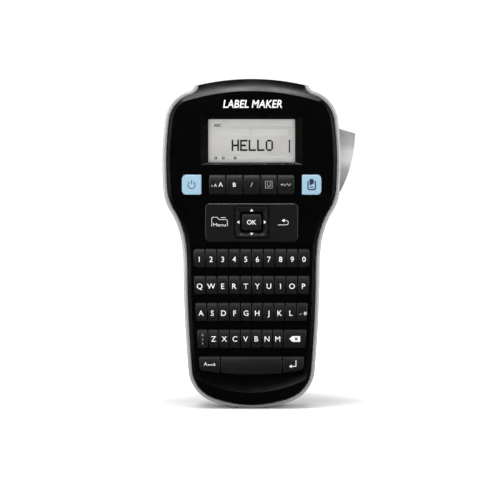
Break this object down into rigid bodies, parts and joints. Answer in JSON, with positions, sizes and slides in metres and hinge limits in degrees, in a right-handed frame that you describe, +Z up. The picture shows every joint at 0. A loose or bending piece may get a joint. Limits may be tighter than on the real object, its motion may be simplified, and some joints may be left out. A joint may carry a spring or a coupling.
{
  "type": "hand-held label maker",
  "caption": "Hand-held electronic label maker with a sloped display visor, letter keypad, side cutter button, thermal print mechanism, tape cassette and a battery grip.",
  "frame": {"origin": "middle of the small flat that the lower end stands on", "axes": "+Z up along the body towards the display, +Y from the keys towards the back, +X to the right as the user looks at the keys"},
  "size_m": [0.1202, 0.0495, 0.2047],
  "materials": {
    "black_shell": "satin moulded black",
    "silver_shell": "silver painted",
    "silver_button": "silver painted, satin",
    "window": "clear moulded",
    "lcd": "reflective grey liquid crystal",
    "rubber_mat": "silicone",
    "black_key": "satin black",
    "blue_key": "satin sky blue",
    "circuit_board": "solder resist",
    "mechanism_plastic": "moulded",
    "jack_plastic": "moulded",
    "motor_steel": "drawn can",
    "head_metal": "milled",
    "cassette_plastic": "light grey moulded",
    "label_tape": "laminated tape",
    "ribbon_film": "coated film",
    "cell_sleeve": "printed sleeve",
    "spring_steel": "plated",
    "screw_steel": "black zinc",
    "blade_steel": "ground",
    "gear_brass": "machined",
    "gear_plastic": "acetal",
    "platen_rubber": "ground rubber",
    "foot_rubber": "moulded rubber"
  },
  "bodies": {
    "housing": {"front_cover": "black_shell", "rear_cover": "silver_shell", "display_window": "window", "lcd_panel": "lcd", "keypad_mat": "rubber_mat", "main_board": "circuit_board", "mechanism_deck": "mechanism_plastic", "drive_motor": "motor_steel", "print_head": "head_metal", "foot_pads": "foot_rubber", "power_jack": "jack_plastic", "tape_cassette": "cassette_plastic", "label_strip": "label_tape", "batteries": "cell_sleeve", "battery_contacts": "spring_steel", "case_screws": "screw_steel", "cutter_pivot_pin": "spring_steel", "cutter_spring": "spring_steel"},
    "cassette_door": {"cassette_door": "silver_shell", "door_window": "window"},
    "battery_cover": {"battery_cover": "silver_shell"},
    "cutter_button": {"cutter_button": "silver_button"},
    "blade_carrier": {"blade_carrier": "mechanism_plastic", "cutter_blade": "blade_steel"},
    "motor_pinion": {"motor_pinion": "gear_brass"},
    "idler_gear": {"idler_gear": "gear_plastic"},
    "platen": {"platen_gear": "gear_plastic", "platen_roller": "platen_rubber"},
    "ribbon_spindle": {"ribbon_spindle": "gear_plastic", "ribbon_roll": "ribbon_film"},
    "label_roll": {"label_roll": "label_tape"},
    "menu_back_plate": {"menu_back_plate": "black_key"},
    "arrow_ring_actuator": {"arrow_ring_actuator": "jack_plastic"},
    "arrow_ring": {"arrow_ring": "black_key"},
    "ok_key": {"ok_key": "black_key"},
    "power_key": {"power_key": "blue_key"},
    "print_key": {"print_key": "blue_key"},
    "size_key": {"size_key": "black_key"},
    "bold_key": {"bold_key": "black_key"},
    "italic_key": {"italic_key": "black_key"},
    "frame_key": {"frame_key": "black_key"},
    "style_key": {"style_key": "black_key"},
    "accent_key": {"accent_key": "black_key"},
    "backspace_key": {"backspace_key": "black_key"},
    "capitals_key": {"capitals_key": "black_key"},
    "space_key": {"space_key": "black_key"},
    "enter_key": {"enter_key": "black_key"},
    "key_0": {"key_0": "black_key"},
    "key_1": {"key_1": "black_key"},
    "key_2": {"key_2": "black_key"},
    "key_3": {"key_3": "black_key"},
    "key_4": {"key_4": "black_key"},
    "key_5": {"key_5": "black_key"},
    "key_6": {"key_6": "black_key"},
    "key_7": {"key_7": "black_key"},
    "key_8": {"key_8": "black_key"},
    "key_9": {"key_9": "black_key"},
    "keys_upper_row": {"keys_upper_row": "black_key"},
    "keys_home_row": {"keys_home_row": "black_key"},
    "keys_lower_row": {"keys_lower_row": "black_key"}
  },
  "joints": [
    {"name": "power_key_press", "type": "slide", "parent": "housing", "child": "power_key", "axis": [0, 1, 0], "range_m": [0, 0.0008], "stiffness_N_per_m": 400, "springref_m": -0.0002, "deforming": ["keypad_mat"]},
    {"name": "print_key_press", "type": "slide", "parent": "housing", "child": "print_key", "axis": [0, 1, 0], "range_m": [0, 0.0008], "stiffness_N_per_m": 400, "springref_m": -0.0002, "deforming": ["keypad_mat"]},
    {"name": "size_key_press", "type": "slide", "parent": "housing", "child": "size_key", "axis": [0, 1, 0], "range_m": [0, 0.0008], "stiffness_N_per_m": 400, "springref_m": -0.0002, "deforming": ["keypad_mat"]},
    {"name": "bold_key_press", "type": "slide", "parent": "housing", "child": "bold_key", "axis": [0, 1, 0], "range_m": [0, 0.0008], "stiffness_N_per_m": 400, "springref_m": -0.0002, "deforming": ["keypad_mat"]},
    {"name": "italic_key_press", "type": "slide", "parent": "housing", "child": "italic_key", "axis": [0, 1, 0], "range_m": [0, 0.0008], "stiffness_N_per_m": 400, "springref_m": -0.0002, "deforming": ["keypad_mat"]},
    {"name": "frame_key_press", "type": "slide", "parent": "housing", "child": "frame_key", "axis": [0, 1, 0], "range_m": [0, 0.0008], "stiffness_N_per_m": 400, "springref_m": -0.0002, "deforming": ["keypad_mat"]},
    {"name": "style_key_press", "type": "slide", "parent": "housing", "child": "style_key", "axis": [0, 1, 0], "range_m": [0, 0.0008], "stiffness_N_per_m": 400, "springref_m": -0.0002, "deforming": ["keypad_mat"]},
    {"name": "accent_key_press", "type": "slide", "parent": "housing", "child": "accent_key", "axis": [0, 1, 0], "range_m": [0, 0.0008], "stiffness_N_per_m": 400, "springref_m": -0.0002, "deforming": ["keypad_mat"]},
    {"name": "backspace_key_press", "type": "slide", "parent": "housing", "child": "backspace_key", "axis": [0, 1, 0], "range_m": [0, 0.0008], "stiffness_N_per_m": 400, "springref_m": -0.0002, "deforming": ["keypad_mat"]},
    {"name": "capitals_key_press", "type": "slide", "parent": "housing", "child": "capitals_key", "axis": [0, 1, 0], "range_m": [0, 0.0008], "stiffness_N_per_m": 400, "springref_m": -0.0002, "deforming": ["keypad_mat"]},
    {"name": "space_key_press", "type": "slide", "parent": "housing", "child": "space_key", "axis": [0, 1, 0], "range_m": [0, 0.0008], "stiffness_N_per_m": 400, "springref_m": -0.0002, "deforming": ["keypad_mat"]},
    {"name": "enter_key_press", "type": "slide", "parent": "housing", "child": "enter_key", "axis": [0, 1, 0], "range_m": [0, 0.0008], "stiffness_N_per_m": 400, "springref_m": -0.0002, "deforming": ["keypad_mat"]},
    {"name": "key_0_press", "type": "slide", "parent": "housing", "child": "key_0", "axis": [0, 1, 0], "range_m": [0, 0.0008], "stiffness_N_per_m": 400, "springref_m": -0.0002, "deforming": ["keypad_mat"]},
    {"name": "key_1_press", "type": "slide", "parent": "housing", "child": "key_1", "axis": [0, 1, 0], "range_m": [0, 0.0008], "stiffness_N_per_m": 400, "springref_m": -0.0002, "deforming": ["keypad_mat"]},
    {"name": "key_2_press", "type": "slide", "parent": "housing", "child": "key_2", "axis": [0, 1, 0], "range_m": [0, 0.0008], "stiffness_N_per_m": 400, "springref_m": -0.0002, "deforming": ["keypad_mat"]},
    {"name": "key_3_press", "type": "slide", "parent": "housing", "child": "key_3", "axis": [0, 1, 0], "range_m": [0, 0.0008], "stiffness_N_per_m": 400, "springref_m": -0.0002, "deforming": ["keypad_mat"]},
    {"name": "key_4_press", "type": "slide", "parent": "housing", "child": "key_4", "axis": [0, 1, 0], "range_m": [0, 0.0008], "stiffness_N_per_m": 400, "springref_m": -0.0002, "deforming": ["keypad_mat"]},
    {"name": "key_5_press", "type": "slide", "parent": "housing", "child": "key_5", "axis": [0, 1, 0], "range_m": [0, 0.0008], "stiffness_N_per_m": 400, "springref_m": -0.0002, "deforming": ["keypad_mat"]},
    {"name": "key_6_press", "type": "slide", "parent": "housing", "child": "key_6", "axis": [0, 1, 0], "range_m": [0, 0.0008], "stiffness_N_per_m": 400, "springref_m": -0.0002, "deforming": ["keypad_mat"]},
    {"name": "key_7_press", "type": "slide", "parent": "housing", "child": "key_7", "axis": [0, 1, 0], "range_m": [0, 0.0008], "stiffness_N_per_m": 400, "springref_m": -0.0002, "deforming": ["keypad_mat"]},
    {"name": "key_8_press", "type": "slide", "parent": "housing", "child": "key_8", "axis": [0, 1, 0], "range_m": [0, 0.0008], "stiffness_N_per_m": 400, "springref_m": -0.0002, "deforming": ["keypad_mat"]},
    {"name": "key_9_press", "type": "slide", "parent": "housing", "child": "key_9", "axis": [0, 1, 0], "range_m": [0, 0.0008], "stiffness_N_per_m": 400, "springref_m": -0.0002, "deforming": ["keypad_mat"]},
    {"name": "keys_upper_row_press", "type": "slide", "parent": "housing", "child": "keys_upper_row", "axis": [0, 1, 0], "range_m": [0, 0.0008], "stiffness_N_per_m": 400, "springref_m": -0.0002, "deforming": ["keypad_mat"]},
    {"name": "keys_home_row_press", "type": "slide", "parent": "housing", "child": "keys_home_row", "axis": [0, 1, 0], "range_m": [0, 0.0008], "stiffness_N_per_m": 400, "springref_m": -0.0002, "deforming": ["keypad_mat"]},
    {"name": "keys_lower_row_press", "type": "slide", "parent": "housing", "child": "keys_lower_row", "axis": [0, 1, 0], "range_m": [0, 0.0008], "stiffness_N_per_m": 400, "springref_m": -0.0002, "deforming": ["keypad_mat"]},
    {"name": "ok_key_press", "type": "slide", "parent": "housing", "child": "ok_key", "axis": [0, 1, 0], "range_m": [0, 0.0008], "stiffness_N_per_m": 400, "springref_m": -0.0002, "deforming": ["keypad_mat"]},
    {"name": "menu_back_rock", "type": "hinge", "parent": "housing", "child": "menu_back_plate", "pos_m": [0, -0.011, 0.1154], "axis": [0, 0, 1], "range_deg": [-1.5, 1.5], "stiffness_Nm_per_rad": 0.2, "deforming": ["keypad_mat"]},
    {"name": "ring_left_right", "type": "hinge", "parent": "housing", "child": "arrow_ring_actuator", "pos_m": [0, -0.0106, 0.1158], "axis": [0, 0, 1], "range_deg": [-3, 3], "stiffness_Nm_per_rad": 0.05, "deforming": ["keypad_mat"]},
    {"name": "ring_up_down", "type": "hinge", "parent": "arrow_ring_actuator", "child": "arrow_ring", "pos_m": [0, -0.0106, 0.1158], "axis": [1, 0, 0], "range_deg": [-3, 3], "stiffness_Nm_per_rad": 0.05, "deforming": ["keypad_mat"]},
    {"name": "cassette_door_hinge", "type": "hinge", "parent": "housing", "child": "cassette_door", "pos_m": [-0.004, 0.0324, 0.117], "axis": [-1, 0, 0], "range_deg": [0, 95]},
    {"name": "battery_cover_lift", "type": "slide", "parent": "housing", "child": "battery_cover", "axis": [0, 1, 0], "range_m": [0, 0.03]},
    {"name": "cutter_button_hinge", "type": "hinge", "parent": "housing", "child": "cutter_button", "pos_m": [0.0495, 0.00875, 0.1377], "axis": [0, -1, 0], "range_deg": [0, 9], "stiffness_Nm_per_rad": 0.6, "springref_deg": -1.72, "deforming": ["cutter_spring"]},
    {"name": "blade_slide", "type": "slide", "parent": "housing", "child": "blade_carrier", "axis": [-1, 0, 0], "range_m": [0, 0.0054], "deforming": ["cutter_spring"]},
    {"name": "platen_spin", "type": "hinge", "parent": "housing", "child": "platen", "pos_m": [0.02487, 0.002, 0.1587], "axis": [0, 1, 0], "continuous": true},
    {"name": "idler_spin", "type": "hinge", "parent": "housing", "child": "idler_gear", "pos_m": [0.02121, 0.002, 0.14148], "axis": [0, 1, 0], "continuous": true},
    {"name": "pinion_spin", "type": "hinge", "parent": "housing", "child": "motor_pinion", "pos_m": [0.0355, 0.002, 0.1397], "axis": [0, 1, 0], "continuous": true},
    {"name": "ribbon_spin", "type": "hinge", "parent": "housing", "child": "ribbon_spindle", "pos_m": [0.00317, 0.002, 0.13492], "axis": [0, 1, 0], "continuous": true},
    {"name": "label_roll_spin", "type": "hinge", "parent": "housing", "child": "label_roll", "pos_m": [-0.02, 0.002, 0.146], "axis": [0, 1, 0], "continuous": true}
  ],
  "couplings": [
    {"joint": "idler_spin", "follows": "platen_spin", "ratio": -0.83333},
    {"joint": "pinion_spin", "follows": "platen_spin", "ratio": 1.6667},
    {"joint": "ribbon_spin", "follows": "platen_spin", "ratio": 0.83333},
    {"joint": "label_roll_spin", "follows": "platen_spin", "ratio": -0.3},
    {"joint": "blade_slide", "follows": "cutter_button_hinge", "m_per_rad": 0.034377}
  ]
}
